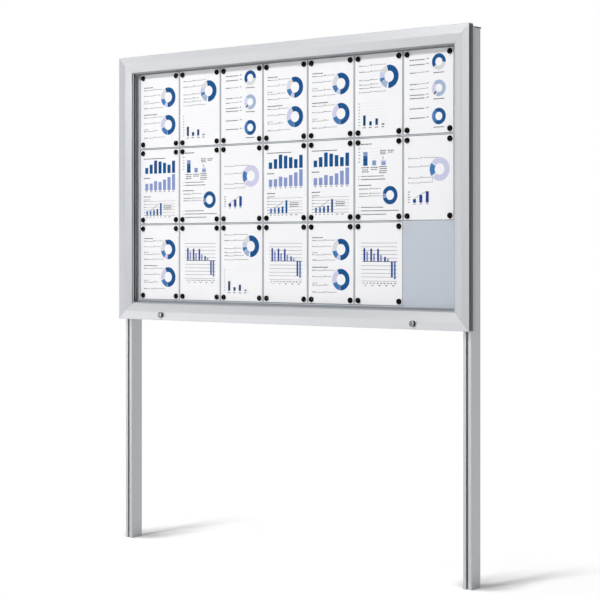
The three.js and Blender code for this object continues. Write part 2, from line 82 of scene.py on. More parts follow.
# %% Colour and node helpers
def linear(hex_colour):
    """An sRGB hex colour as linear red, green, blue and full alpha."""
    channels = [int(hex_colour[i:i + 2], 16) / 255 for i in (1, 3, 5)]
    return (*[c / 12.92 if c <= 0.04045 else ((c + 0.055) / 1.055) ** 2.4 for c in channels], 1.0)


def add(tree, kind, inputs=None, **settings):
    """A node of that kind. An input's value is a number, a colour, or what to link from: a socket,
    or a node for its first output."""
    node = tree.nodes.new(kind)
    for name, value in settings.items():
        setattr(node, name, value)
    for name, value in (inputs or {}).items():
        if isinstance(value, bpy.types.Node):
            value = value.outputs[0]
        if isinstance(value, bpy.types.NodeSocket):
            tree.links.new(value, node.inputs[name])
        else:
            node.inputs[name].default_value = value
    return node


def mixed_colour(tree, share, first, second):
    """A socket with the colour between first and second that the share says."""
    mix = add(tree, "ShaderNodeMix", {0: share}, data_type="RGBA")
    first_in, second_in = [socket for socket in mix.inputs if socket.type == "RGBA"]
    first_in.default_value, second_in.default_value = first, second
    return next(socket for socket in mix.outputs if socket.type == "RGBA")


def start_material(name):
    """An empty material and its node tree."""
    material = bpy.data.materials.new(name)
    material.use_nodes = True
    material.node_tree.nodes.clear()
    return material, material.node_tree


print("mid grey, #808080, is", round(linear("#808080")[0], 3), "in linear light")

# %% [markdown]
# The studio is white all round. The world shows white to the camera, and to rays that mirror off
# metal or pass through glass, while what lights the object stays at a plain level. The ceiling is
# greyer in mirrors, which keeps a rail's upward slope below the brightness of its face. Its grey
# starts at one rise of the mirrored ray and is full at another.

# %% World
WHITE = (1, 1, 1, 1)
AMBIENT = 0.2
CEILING_LOW, CEILING_HIGH, CEILING_DIM = 0.12, 0.42, 0.6


def seen_directly(tree):
    """A node that gives 1 for rays from the camera, from mirrors and through glass, else 0."""
    path = add(tree, "ShaderNodeLightPath")
    seen = add(tree, "ShaderNodeMath", {0: path.outputs["Is Camera Ray"],
                                        1: path.outputs["Is Glossy Ray"]}, operation="MAXIMUM")
    return add(tree, "ShaderNodeMath", {0: seen, 1: path.outputs["Is Transmission Ray"]}, operation="MAXIMUM")


world = bpy.data.worlds.new("white_studio")
world.use_nodes = True
world.node_tree.nodes.clear()
tree = world.node_tree
level = add(tree, "ShaderNodeMapRange", {"Value": seen_directly(tree), "To Min": AMBIENT, "To Max": 1.0})
path = add(tree, "ShaderNodeLightPath")
direction = add(tree, "ShaderNodeTexCoord")
upward = add(tree, "ShaderNodeSeparateXYZ", {0: direction.outputs["Generated"]})
ceiling = add(tree, "ShaderNodeMapRange", {"Value": upward.outputs["Z"], "From Min": CEILING_LOW,
                                           "From Max": CEILING_HIGH, "To Min": 0.0, "To Max": CEILING_DIM})
mirrored = add(tree, "ShaderNodeMath", {0: path.outputs["Is Glossy Ray"], 1: ceiling}, operation="MULTIPLY")
dimmed = add(tree, "ShaderNodeMath", {0: level, 1: mirrored}, operation="SUBTRACT")
sky = add(tree, "ShaderNodeBackground", {"Color": WHITE, "Strength": dimmed})
add(tree, "ShaderNodeOutputWorld", {"Surface": sky})
bpy.context.scene.world = world
print("the world lights the object with", AMBIENT, "and looks", WHITE[0])

# %% [markdown]
# The floor is a sheet of white paper. Away from the posts it shows plain white, and round the
# shadow that each post throws it shows the light that really falls on it. Only a part of its white
# is its own glow there, so the shadow stays.

# %% Floor where the shadows fall
FLOOR_COLOUR, FLOOR_GLOW = "#FAFAFA", 0.45
SHADE_PLACES = (-0.74, 0.24, 0), (0.86, 0.24, 0)  # metres: the middle of the shadow that each post throws
SHADE_NEAR, SHADE_FAR = 0.12, 0.5  # metres from there, where the shadow starts to fade and is gone

floor_paper, tree = start_material("studio_floor_paper")
matt = add(tree, "ShaderNodeBsdfDiffuse", {"Color": linear(FLOOR_COLOUR)})
direct = seen_directly(tree)
glow = add(tree, "ShaderNodeMath", {0: direct, 1: FLOOR_GLOW}, operation="MULTIPLY")
own_light = add(tree, "ShaderNodeEmission", {"Color": WHITE, "Strength": glow})
shaded = add(tree, "ShaderNodeAddShader", {0: matt, 1: own_light})

where = add(tree, "ShaderNodeTexCoord")
away = [add(tree, "ShaderNodeVectorMath", {0: where.outputs["Object"], 1: spot},
            operation="DISTANCE").outputs["Value"] for spot in SHADE_PLACES]
nearest = add(tree, "ShaderNodeMath", {0: away[0], 1: away[1]}, operation="MINIMUM")
clear = add(tree, "ShaderNodeMapRange", {"Value": nearest, "From Min": SHADE_NEAR, "From Max": SHADE_FAR},
            interpolation_type="SMOOTHSTEP")
print("shadows fade from", SHADE_NEAR, "to", SHADE_FAR, "m")

# %% [markdown]
# Close behind a foot the photograph's shadow is darkest, and the soft lamps fill it here. So the
# paper is darkened there. Ambient occlusion towards the light tells how much of it a post hides,
# and a long narrow wedge behind each foot keeps that shade to where the shadow falls.

# %% Deeper shade behind the feet
SHADE_WAY = (0.13, 0.99)  # the way the shadows fall
LIGHT_RISE = 0.05  # the occlusion looks nearly level, back along that way
HIDING_REACH, HIDING_SAMPLES = 0.5, 8  # metres, and rays for each point
FOOT_SHADE = 0.52  # how much darker the floor is close behind a foot
FOOT_SHADE_FULL = 0.06  # the share of the light's side that a post must hide for that
WEDGE_AHEAD, WEDGE_SIZE = 0.13, (0.42, 0.15, 1)  # metres: its middle from the foot, and half its size
WEDGE_EDGE = 0.6  # the share of the wedge in which its edge fades

towards_light = add(tree, "ShaderNodeCombineXYZ", {"X": -SHADE_WAY[0], "Y": -SHADE_WAY[1], "Z": LIGHT_RISE})
hidden = add(tree, "ShaderNodeAmbientOcclusion", {"Distance": HIDING_REACH, "Normal": towards_light},
             samples=HIDING_SAMPLES)
behind = add(tree, "ShaderNodeMapRange", {"Value": hidden.outputs["AO"], "From Min": 1 - FOOT_SHADE_FULL,
                                          "From Max": 1.0, "To Min": FOOT_SHADE, "To Max": 0.0})
wedges = []
for node in ("post_left", "post_right"):
    low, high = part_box(node)
    foot = (low + high) / 2
    middle = [foot[i] + WEDGE_AHEAD * SHADE_WAY[i] for i in (0, 1)] + [0]
    lengthwise = add(tree, "ShaderNodeMapping", {
        "Vector": where.outputs["Object"], "Location": middle, "Scale": WEDGE_SIZE,
        "Rotation": (0, 0, math.atan2(SHADE_WAY[1], SHADE_WAY[0]))}, vector_type="TEXTURE")
    wedge = add(tree, "ShaderNodeTexGradient", {"Vector": lengthwise}, gradient_type="SPHERICAL")
    wedges.append(wedge.outputs["Fac"])
    print("foot at", round(foot.x, 3), round(foot.y, 3))
both_wedges = add(tree, "ShaderNodeMath", {0: wedges[0], 1: wedges[1]})
edge = add(tree, "ShaderNodeMapRange", {"Value": both_wedges, "From Max": WEDGE_EDGE},
           interpolation_type="SMOOTHSTEP")
dark = add(tree, "ShaderNodeMath", {0: behind, 1: edge}, operation="MULTIPLY")

# %% Floor
FLOOR_REACH = 14

black = add(tree, "ShaderNodeEmission", {"Color": WHITE, "Strength": 0.0})
by_foot = add(tree, "ShaderNodeMixShader", {0: dark, 1: shaded, 2: black})
white = add(tree, "ShaderNodeEmission", {"Color": WHITE, "Strength": 1.0})
share = add(tree, "ShaderNodeMath", {0: direct, 1: clear}, operation="MULTIPLY")
paper = add(tree, "ShaderNodeMixShader", {0: share, 1: by_foot, 2: white})
add(tree, "ShaderNodeOutputMaterial", {"Surface": paper})

floor_mesh = bpy.data.meshes.new("studio_floor")
floor_corners = [(x * FLOOR_REACH, y * FLOOR_REACH, 0) for x, y in ((-1, -1), (1, -1), (1, 1), (-1, 1))]
floor_mesh.from_pydata(floor_corners, [], [(0, 1, 2, 3)])
floor_mesh.materials.append(floor_paper)
floor = bpy.data.objects.new("studio_floor", floor_mesh)
bpy.context.scene.collection.objects.link(floor)
print("floor:", 2 * FLOOR_REACH, "m square")

# %% [markdown]
# Six soft boxes light the board, all from the viewer's side. The key, in front and above, draws the
# short shadow of the frame on the top of the posters and the shadows behind the posts. The others
# are weak. Four stand where a rail mirrors them: one for the right upper corner, and three at the
# left for the rails' left halves and the right stile's bevel. One in front lifts the paper to white.

# %% Lamps
BOARD_MIDDLE = (0, 0, 1.4)


def soft_box(name, place, size, power):
    """A square area lamp that faces the board. The size is in metres and the power in watts."""
    lamp = bpy.data.lights.new(name, "AREA")
    lamp.shape = "SQUARE"
    lamp.size = size
    lamp.energy = power
    holder = bpy.data.objects.new(name, lamp)
    holder.location = place
    holder.rotation_euler = (Vector(BOARD_MIDDLE) - Vector(place)).to_track_quat("-Z", "Y").to_euler()
    bpy.context.scene.collection.objects.link(holder)


soft_box("key_soft_box", (-1.2, -6.9, 7.9), 1.7, 520)
soft_box("corner_soft_box", (-2.2, -6.0, 2.85), 0.8, 22)
soft_box("left_soft_box", (-5.6, -3.6, 1.0), 1.0, 11)
soft_box("upper_left_soft_box", (-5.6, -3.0, 2.75), 1.2, 15)
soft_box("low_soft_box", (-3.6, -4.2, 0.6), 0.8, 6)
soft_box("front_soft_box", (-0.6, -7.0, 1.5), 1.6, 34)

# %% [markdown]
# Sizes are written in millimetres in the board's own directions, as its drawing has them: u runs
# in from the door's outer edge, depth runs back from the door's front face, and height starts at
# the door's bottom edge. One function turns them into the frame's metres, and one reads a CAD
# node's box in them.

# %% Sizes and places
MM = 0.001
SIDES, HANDS = ("left", "right", "top", "bottom"), ("left", "right")
door_low, door_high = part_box("door_left_stile")[0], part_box("door_right_stile")[1]
DOOR_FRONT = door_low.y
DOOR_BOTTOM = door_low.z
DOOR_WIDTH = round((door_high.x - door_low.x) / MM, 2)
DOOR_HEIGHT = round((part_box("door_top_rail")[1].z - door_low.z) / MM, 2)


def place(x, depth, height):
    """A point of the board in millimetres, as the frame's metres."""
    return Vector((x * MM, DOOR_FRONT + depth * MM, DOOR_BOTTOM + height * MM))


def board_box(node):
    """The lower and the upper corner of a CAD node's box, as x, depth and height in millimetres."""
    return [Vector((p.x / MM, (p.y - DOOR_FRONT) / MM, (p.z - DOOR_BOTTOM) / MM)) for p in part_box(node)]


def about(node):
    """A CAD node's box like that, and a function that places (across, up, depth) about its middle."""
    low, high = board_box(node)
    middle = (low + high) / 2
    return low, high, lambda a, b, depth: place(middle.x + a, depth, middle.z + b)


print("door: %.1f by %.1f mm" % (DOOR_WIDTH, DOOR_HEIGHT))

# %% [markdown]
# Most pieces are a section pushed along a line, or a profile turned round an axis. Real folds and
# cut edges are never dead sharp, and light catches on their rounds, so each corner of a section
# has a radius of its own.

# %% Sections with rounded corners
def rounded(corners, steps=5):
    """A closed outline from corners (x, y, radius), with an arc in place of each corner."""
    outline = []
    for i, (x, y, radius) in enumerate(corners):
        corner = Vector((x, y))
        before = Vector(corners[i - 1][:2]) - corner
        after = Vector(corners[(i + 1) % len(corners)][:2]) - corner
        half = before.angle(after) / 2
        middle = corner + (before.normalized() + after.normalized()).normalized() * radius / math.sin(half)
        first = corner + before.normalized() * radius / math.tan(half) - middle
        last = corner + after.normalized() * radius / math.tan(half) - middle
        turn = math.atan2(first.cross(last), first.dot(last))
        for step in range(steps + 1):
            outline.append(middle + Matrix.Rotation(turn * step / steps, 2) @ first)
    return outline


def rounded_box(x0, y0, x1, y1, radii, steps=3):
    """A rectangle's outline. radii is one radius, or four: for the corners x0 y0, x1 y0, x1 y1
    and x0 y1."""
    if not isinstance(radii, tuple):
        radii = (radii,) * 4
    return rounded(list(zip((x0, x1, x1, x0), (y0, y0, y1, y1), radii)), steps)


print("a square with 4 rounded corners has", len(rounded_box(0, 0, 9, 9, 1)), "points")

# %% Solids from outlines
CIRCLE = 48  # the points of a circle, where nothing else is said


def add_prism(mesh, outlines, at, material=0):
    """Adds a closed prism: outlines are one outer loop and its holes, and at(point, end) places
    a point of a loop at end 0 or 1."""
    caps = ([], [])
    for outline in outlines:
        rings = [[mesh.verts.new(at(point, end)) for point in outline] for end in (0, 1)]
        for i in range(len(outline)):
            j = (i + 1) % len(outline)
            face = mesh.faces.new((rings[0][i], rings[0][j], rings[1][j], rings[1][i]))
            face.material_index = material
            for end in (0, 1):
                caps[end].append(mesh.edges.get((rings[end][i], rings[end][j])))
    for edges in caps:
        filled = bmesh.ops.triangle_fill(mesh, edges=edges, use_beauty=True, use_dissolve=False)
        for face in filled["geom"]:
            if isinstance(face, bmesh.types.BMFace):
                face.material_index = material


def ring_points(radius, count=CIRCLE):
    """The points of a circle, the first one to the right, or only its middle for no radius."""
    if radius == 0:
        return [Vector((0, 0))]
    turns = [2 * math.pi * i / count for i in range(count)]
    return [Vector((radius * math.cos(turn), radius * math.sin(turn))) for turn in turns]


def turned(profile, count=CIRCLE):
    """The loops of a turned solid, from its profile of (radius, along)."""
    return [(ring_points(radius, count), along) for radius, along in profile]


def add_lofted(mesh, loops, at, closed=False, material=0):
    """Joins loops of (points, along) into a skin, and caps its ends or joins last to first.
    at(x, y, along) places a point."""
    rings = [[mesh.verts.new(at(p.x, p.y, along)) for p in points] for points, along in loops]
    for low, high in zip(rings, rings[1:] + rings[:1] if closed else rings[1:]):
        for i in range(max(len(low), len(high))):
            corners = [low[i % len(low)], low[(i + 1) % len(low)],
                       high[(i + 1) % len(high)], high[i % len(high)]]
            mesh.faces.new(list(dict.fromkeys(corners))).material_index = material
    if not closed:
        for end in (rings[0], rings[-1]):
            if len(end) > 1:
                mesh.faces.new(end).material_index = material


print("a circle has", CIRCLE, "points")

# %% Pieces from solids
def new_mesh(name, mesh, materials, smooth=32):
    """The bmesh as mesh data with its materials, smooth over folds of up to that many degrees."""
    bmesh.ops.recalc_face_normals(mesh, faces=mesh.faces)
    data = bpy.data.meshes.new(name)
    mesh.to_mesh(data)
    mesh.free()
    data.shade_smooth()
    data.set_sharp_from_angle(angle=math.radians(smooth))
    for material in materials:
        data.materials.append(material)
    return data


def show(name, data, body, replaced, location=(0, 0, 0)):
    """Puts a mesh in the scene as a piece of that body."""
    piece = bpy.data.objects.new(name, data)
    piece.location = location
    bpy.context.scene.collection.objects.link(piece)
    even = piece.modifiers.new("even_normals", "WEIGHTED_NORMAL")
    even.keep_sharp = True
    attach(piece, body)
    if replaced:
        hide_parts(*replaced)


def finish_piece(name, mesh, materials, body, replaced=(), smooth=32):
    """Turns the bmesh into a piece with those materials that rides on the body."""
    show(name, new_mesh(name, mesh, materials, smooth), body, replaced)


print("pieces: new mesh, show, finish")

# %% [markdown]
# Every opaque finish shares one recipe: a body colour that a fine noise makes a little uneven, in
# colour, in gloss and in height. Only the noise differs: long lines on a drawn bar, or the grains,
# pits and orange peel of the other surfaces.

# %% Recipe for a finish
def uneven_surface(material, tree, noise, colour, contrast, roughness, spread, relief, depth,
                   metallic=0.0, specular=0.5):
    """Wires the noise into the colour, which it darkens by contrast, into the roughness, which it
    moves by spread to each side, and into bumps of that relief and depth."""
    pale = linear(colour)
    dark = tuple(c * (1 - contrast) for c in pale[:3]) + (1,)
    factor = noise.outputs["Fac"]
    tint = mixed_colour(tree, factor, dark, pale)
    gloss = add(tree, "ShaderNodeMapRange", {"Value": factor, "To Min": roughness - spread,
                                             "To Max": roughness + spread})
    bumps = add(tree, "ShaderNodeBump", {"Height": factor, "Strength": relief, "Distance": depth})
    shader = add(tree, "ShaderNodeBsdfPrincipled", {
        "Base Color": tint, "Metallic": metallic, "Roughness": gloss, "Normal": bumps,
        "Specular IOR Level": specular})
    add(tree, "ShaderNodeOutputMaterial", {"Surface": shader})
    return material


print("finishes share one recipe")

# %% [markdown]
# Anodised aluminium is the board's main finish. The bar is pressed hot through a die, which leaves
# fine lines along it, then etched and anodised, which turns the bare metal's sharp mirror into a
# soft satin. The eye sees a pale grey that is shaded like paint and glows where it faces a light,
# so the metal is only partly metallic. The die lines are some 0.3 mm apart, too fine for a view of
# the whole board, so they are drawn 4 mm apart and very faint. The door's rails and stiles are one
# section, and the stiles get a darker copy of the rails' silver: painted shade. The case and the
# posts are separate bars, and each took the anodising a little differently.

# %% Anodised aluminium
LINE_SPACING, LINE_LENGTH, LINE_DEPTH, LINE_RELIEF, LINE_CONTRAST = 4 * MM, 600 * MM, 0.4 * MM, 0.04, 0.04
SATIN_METALLIC, SATIN_ROUGHNESS, SATIN_SPREAD = 0.55, 0.37, 0.05


def anodised_aluminium(name, colour, along):
    """Satin extruded bar, with die lines along "X", "Y" or "Z"."""
    material, tree = start_material(name)
    where = add(tree, "ShaderNodeTexCoord")
    scale = [1 / LINE_LENGTH if axis == along else 1 / LINE_SPACING for axis in "XYZ"]
    stretched = add(tree, "ShaderNodeMapping", {"Vector": where.outputs["Object"], "Scale": scale})
    lines = add(tree, "ShaderNodeTexNoise", {"Vector": stretched, "Scale": 1.0, "Detail": 3.0,
                                             "Roughness": 0.6})
    return uneven_surface(material, tree, lines, colour, LINE_CONTRAST, SATIN_ROUGHNESS, SATIN_SPREAD,
                          LINE_RELIEF, LINE_DEPTH, SATIN_METALLIC)


# The stiles' silver is darker than the door rails' silver: painted shade.
DOOR_SILVER, STILE_SILVER_PAINTED_SHADE, CASE_SILVER, POST_SILVER = "#C9CBCE", "#B6B8BB", "#B9BBBE", "#C8CACD"
door_crosswise = anodised_aluminium("anodised_aluminium_door_crosswise", DOOR_SILVER, "X")
stile_aluminium_painted_shade = anodised_aluminium("anodised_aluminium_stiles_painted_shade", STILE_SILVER_PAINTED_SHADE, "Z")
case_crosswise = anodised_aluminium("anodised_aluminium_case_crosswise", CASE_SILVER, "X")
case_upright = anodised_aluminium("anodised_aluminium_case_upright", CASE_SILVER, "Z")
post_upright = anodised_aluminium("anodised_aluminium_posts", POST_SILVER, "Z")
print("aluminium:", DOOR_SILVER, STILE_SILVER_PAINTED_SHADE, CASE_SILVER, POST_SILVER)

# %% [markdown]
# The smaller finishes have a noise as fine as the grain, pits or orange peel of the real surface,
# in millimetres, drawn coarser where it would be too fine to show.

# %% Plain finishes
GLOSS_SPREAD, GRAIN_DEPTH = 0.06, 0.3 * MM


def plain_finish(name, colour, roughness, grain, unevenness=0.05, relief=0.05, metallic=0.0, specular=0.5):
    """A finish with a grain of that size in millimetres."""
    material, tree = start_material(name)
    where = add(tree, "ShaderNodeTexCoord")
    grains = add(tree, "ShaderNodeTexNoise", {"Vector": where.outputs["Object"], "Scale": 1 / (grain * MM),
                                              "Detail": 4.0})
    return uneven_surface(material, tree, grains, colour, 2 * unevenness, roughness, GLOSS_SPREAD,
                          relief, GRAIN_DEPTH, metallic, specular)


# Vitreous enamel on steel, sprayed and fired: an even, cool blue-grey with a low gloss.
panel_enamel = plain_finish("vitreous_enamel_panel", "#C3CAD4", 0.45, 6, 0.01, 0.02, specular=0.3)
# Uncoated copy paper: matt, faintly uneven where the fibres clump.
copy_paper = plain_finish("uncoated_copy_paper", "#F7F7F9", 0.9, 3, 0.005, 0.02, specular=0.1)
# Moulded black plastic round a magnet: nearly no shine, so that it reads as a black disc.
magnet_plastic = plain_finish("moulded_black_plastic", "#050506", 0.7, 0.6, 0.1, 0.1, specular=0.05)
# Extruded EPDM rubber, grey for the glazing and black for the weather seal: a dull, soft sheen.
glazing_rubber = plain_finish("extruded_grey_rubber", "#B4B8BB", 0.75, 0.8, 0.06, 0.1, specular=0.25)
weather_rubber = plain_finish("extruded_black_rubber", "#1B1C1E", 0.8, 0.8, 0.08, 0.1, specular=0.25)
# A darker grey band on the panel's border, painted shade along the edge of the opening: matt and pitted.
border_painted_shade = plain_finish("border_band_painted_shade", "#999EA3", 0.9, 1.0, 0.06, 0.15, specular=0.15)
# Extruded PVC in the door's outer sides: a satin flap, and a lip that lies deeper, coloured darker as painted
# shade.
edge_plastic = plain_finish("extruded_dark_plastic", "#85898C", 0.55, 0.8, specular=0.3)
edge_lip_painted_shade = plain_finish("edge_lip_painted_shade_plastic", "#686C6F", 0.6, 0.8, specular=0.25)
# Injection moulded cap, with the fine spark texture of its mould.
cap_plastic = plain_finish("moulded_grey_plastic", "#5A5E60", 0.6, 0.5, 0.06, 0.15, specular=0.3)
# Bright chrome plate on the locks and the strut rods: a mirror with the slightest haze.
lock_chrome = plain_finish("bright_chrome_plate", "#93969A", 0.14, 1.5, 0.02, 0.01, metallic=1.0)
# Zinc plate on small steel parts: duller than chrome and faintly cloudy.
zinc_plate = plain_finish("zinc_plated_steel", "#A9ADB0", 0.4, 2.5, 0.08, 0.04, metallic=0.85)
# Black powder coat on the strut tubes, with its fine orange peel.
strut_paint = plain_finish("black_powder_coat", "#1E2022", 0.38, 1.2, 0.05, 0.12)
print("materials so far:", len(bpy.data.materials))

# %% [markdown]
# The pane is clear safety glass with an anti-reflective coat, so the black magnets behind it stay
# black. A flat pane hardly bends what is seen through it, so light goes straight on, and only a
# mirror's share of it, next to nothing from the front and large along the pane, is thrown back.
# Lamps also reach the posters through such a pane, which they don't through a shader that bends light.

# %% Safety glass
STRAIGHT_ON, GRAZING = 0.002, 0.9  # the mirror's share, seen straight on and along the pane
STEEPNESS = 5.0  # how late the mirror comes up as the view slants

clear_glass, tree = start_material("anti_reflective_safety_glass")
through = add(tree, "ShaderNodeBsdfTransparent", {"Color": WHITE})
mirror = add(tree, "ShaderNodeBsdfGlossy", {"Color": WHITE, "Roughness": 0.0})
slant = add(tree, "ShaderNodeLayerWeight", {"Blend": 0.5})
steep = add(tree, "ShaderNodeMath", {0: slant.outputs["Facing"], 1: STEEPNESS}, operation="POWER")
thrown_back = add(tree, "ShaderNodeMapRange", {"Value": steep, "To Min": STRAIGHT_ON, "To Max": GRAZING})
pane = add(tree, "ShaderNodeMixShader", {0: thrown_back, 1: through, 2: mirror})
add(tree, "ShaderNodeOutputMaterial", {"Surface": pane})
print("glass mirrors", STRAIGHT_ON, "straight on and", GRAZING, "along the pane")

# %% [markdown]
# Nodes whose CAD shape is already right only need their finish: the case, the panel, the weather
# seal, the hinge, the cleats, the locks' cams and nuts, and the glass.

# %% Finishes for the CAD nodes
cad_finish = {
    "back_panel": panel_enamel, "weather_seal": weather_rubber, "door_glass": clear_glass,
    "hinge_rod": zinc_plate, "hinge_case_leaf": case_crosswise, "hinge_door_leaf": door_crosswise,
    "case_top_rail": case_crosswise, "case_bottom_rail": case_crosswise,
    "case_left_stile": case_upright, "case_right_stile": case_upright,
}
for hand in HANDS:
    cad_finish.update({f"lock_cam_{hand}": zinc_plate, f"lock_nut_{hand}": zinc_plate,
                       f"door_cleat_top_{hand}": zinc_plate, f"door_cleat_bottom_{hand}": zinc_plate})
for name, finish in cad_finish.items():
    nodes[name].material_slots[0].material = finish
print("finished CAD nodes:", len(cad_finish))

# %% [markdown]
# The door's frame is one extruded section, cut at 45 degrees and joined at the corners. Its face
# is flat for half its width and then slopes back to the glass, and the fold between them is a
# soft round, as a die leaves it. The outer side has a shallow channel for a dark edge strip, and
# the inner side a channel for the glass.

# %% Door's section
FLAT_BAND, BEVEL_BAND, BEVEL_DROP = 32, 31, 9
BAND = FLAT_BAND + BEVEL_BAND
DOOR_DEPTH = 26
FOLD_ROUND, EDGE_ROUND = 24, 1.2
STRIP_DEPTH, STRIP_FRONT, STRIP_BACK = 1.2, 1.5, 25
# Each corner is (u, depth, radius)
door_section = rounded([
    # The face: its flat, the fold, the bevel, and the nose in front of the glass
    (0, 0, EDGE_ROUND), (FLAT_BAND, 0, FOLD_ROUND), (BAND, BEVEL_DROP, 1.6), (BAND, 14, 0.5),
    (60.5, 14, 0.4), (60.5, 11, 0.6),
    # The channel for the glass, and the bead behind it
    (50.7, 8.2, 0.5), (50.7, 20.1, 0.4), (60.7, 20.1, 0.3), (60.7, 22.1, 0.3), (50.7, 22.1, 0.3),
    # The web and the hollow behind the face
    (50.7, DOOR_DEPTH, 0.4), (48.2, DOOR_DEPTH, 0.4), (48.2, 7.6, 0.6), (30.9, 2.8, 3),
    (2.7, 2.8, 0.6), (2.7, DOOR_DEPTH, 0.4),
    # The outer side, with its channel for the edge strip
    (0, DOOR_DEPTH, 0.4), (0, STRIP_BACK, 0.2), (STRIP_DEPTH, STRIP_BACK, 0.2),
    (STRIP_DEPTH, STRIP_FRONT, 0.2), (0, STRIP_FRONT, 0.2)])
print("door section points:", len(door_section))

# %% Door rails
RAIL_GAP = 0.12  # between a mitre's cut and the corner's middle, so that the joint shows as a hairline


def along_side(side, gap):
    """A function that places (u, depth) of a section at either end of a side's mitred bar."""
    length = DOOR_HEIGHT if side in HANDS else DOOR_WIDTH

    def at(point, end):
        u, depth = point
        half = length / 2 - u - gap
        along = half if end else -half
        if side in HANDS:
            outward = DOOR_WIDTH / 2 - u
            return place(-outward if side == "left" else outward, depth, DOOR_HEIGHT / 2 + along)
        return place(along, depth, DOOR_HEIGHT - u if side == "top" else u)
    return at


for side in SIDES:
    node = f"door_{side}_{'stile' if side in HANDS else 'rail'}"
    mesh = bmesh.new()
    add_prism(mesh, [door_section], along_side(side, RAIL_GAP))
    finish_piece(f"{node}_extrusion", mesh, [stile_aluminium_painted_shade if side in HANDS else door_crosswise], "door",
                 [node])
print("door rails:", len(SIDES))

# %% [markdown]
# Strips that run round the door are made the same way, four mitred lengths of one section. The
# first is a dark plastic strip, pushed into the channel in the door's outer sides. A lip at its
# front lies a little deeper than the flap behind it, and is coloured darker: painted shade.

# %% Dark edge strips
STRIP_PLAY, STRIP_GAP = 0.1, 2
LIP_SUNK, LIP_BACK, FLAP_ROUND = 0.55, 10, 0.3


def run_round(name, sections, materials, body, gap, replaced=()):
    """A mitred piece along each side of the door, with one section for each material. The name
    has {} where the side goes."""
    for side in SIDES:
        mesh = bmesh.new()
        for number, section in enumerate(sections):
            add_prism(mesh, [section], along_side(side, gap), number)
        finish_piece(name.format(side), mesh, materials, body, replaced)


# The lip is coloured darker than the flap: painted shade for lying deeper.
lip = rounded_box(LIP_SUNK, STRIP_FRONT + STRIP_PLAY, STRIP_DEPTH - STRIP_PLAY, LIP_BACK, STRIP_PLAY, 2)
flap = rounded_box(STRIP_PLAY, LIP_BACK + STRIP_PLAY, STRIP_DEPTH - STRIP_PLAY, STRIP_BACK - STRIP_PLAY,
                   (FLAP_ROUND, STRIP_PLAY, STRIP_PLAY, FLAP_ROUND), 2)
run_round("door_edge_strip_{}", [lip, flap], [edge_lip_painted_shade, edge_plastic], "door", STRIP_GAP)
print("edge strip is", STRIP_BACK - STRIP_FRONT, "mm wide, its lip", LIP_BACK - STRIP_FRONT)

# %% [markdown]
# The pane is bedded in a grey rubber gasket. Its inner edge stands 5 mm into the opening, where it
# shows as a soft grey line all round the glass, between the bright metal and the posters.

# %% Glazing gasket
GASKET_SHOWS, GASKET_HIDDEN, SEAM_GAP = 5, 9, 0.02
gasket_front, gasket_back = [corner.y for corner in board_box("glazing_gasket")]
gasket = rounded_box(BAND - GASKET_HIDDEN, gasket_front, BAND + GASKET_SHOWS, gasket_back,
                     (0.1, 0.5, 0.1, 0.1))
run_round("gasket_{}_extrusion", [gasket], [glazing_rubber], "door", SEAM_GAP,
          ["glazing_gasket"])
print("gasket from %.1f to %.1f mm deep" % (gasket_front, gasket_back))

# %% [markdown]
# The panel's border has a darker grey band, which the posters leave bare: painted shade along the
# edge of the opening. It shows at the left and along the bottom as a darker line, and the right rail hides
# it.

# %% Painted shade on the panel's border
SHADE_BAND_SHOWS, SHADE_BAND_FRONT, SHADE_BAND_BACK = 12, 37.22, 37.46
painted_shade_band = rounded_box(BAND, SHADE_BAND_FRONT, BAND + SHADE_BAND_SHOWS, SHADE_BAND_BACK, (0.05, 0.1, 0.05, 0.05), 2)
run_round("panel_edging_{}", [painted_shade_band], [border_painted_shade], "frame", SEAM_GAP)
print("edging tape shows", SHADE_BAND_SHOWS, "mm")

# %% [markdown]
# The posts are a hollow extruded section with an undercut slot down the front for the nuts that
# carry the board. Its sides have a wide shallow flute, which leaves a raised line at each edge.

# %% Posts
POST_WIDTH, POST_DEPTH, POST_ROUND, POST_WALL = 34, 60, 3, 2.5
SLOT_WIDTH, SLOT_UNDERCUT, SLOT_FLOOR = 9, 18, 9.5
FLUTE_FRONT, FLUTE_BACK, FLUTE_DEEP, FLUTE_SLOPE = 13, 54, 0.6, 0.8


def post_outline():
    """The post's outer outline with its slot, x across and y back from the front face."""
    half, neck, deep = POST_WIDTH / 2, SLOT_WIDTH / 2, SLOT_UNDERCUT / 2
    right = [(deep, SLOT_FLOOR, 0.5), (deep, POST_WALL, 0.3), (neck, POST_WALL, 0.3), (neck, 0, 0.5),
             (half, 0, POST_ROUND), (half, FLUTE_FRONT, 0.4),
             (half - FLUTE_DEEP, FLUTE_FRONT + FLUTE_SLOPE, 0.6),
             (half - FLUTE_DEEP, FLUTE_BACK - FLUTE_SLOPE, 0.6),
             (half, FLUTE_BACK, 0.4), (half, POST_DEPTH, POST_ROUND)]
    return rounded(right + [(-x, y, radius) for x, y, radius in reversed(right)], 4)


hollow_half = POST_WIDTH / 2 - POST_WALL
post_hollow = rounded_box(-hollow_half, SLOT_FLOOR + POST_WALL, hollow_half, POST_DEPTH - POST_WALL, 1)
for hand in HANDS:
    low, high = board_box(f"post_{hand}")
    middle = (low.x + high.x) / 2
    mesh = bmesh.new()
    add_prism(mesh, [post_outline(), post_hollow],
              lambda p, end: place(middle + p.x, low.y + p.y, high.z if end else low.z))
    finish_piece(f"post_{hand}_extrusion", mesh, [post_upright], "frame", [f"post_{hand}"])
print("post outline points:", len(post_outline()))

# %% [markdown]
# A post's cap is moulded plastic: a thin plate with a soft upper edge that stands a little proud
# of the post all round.

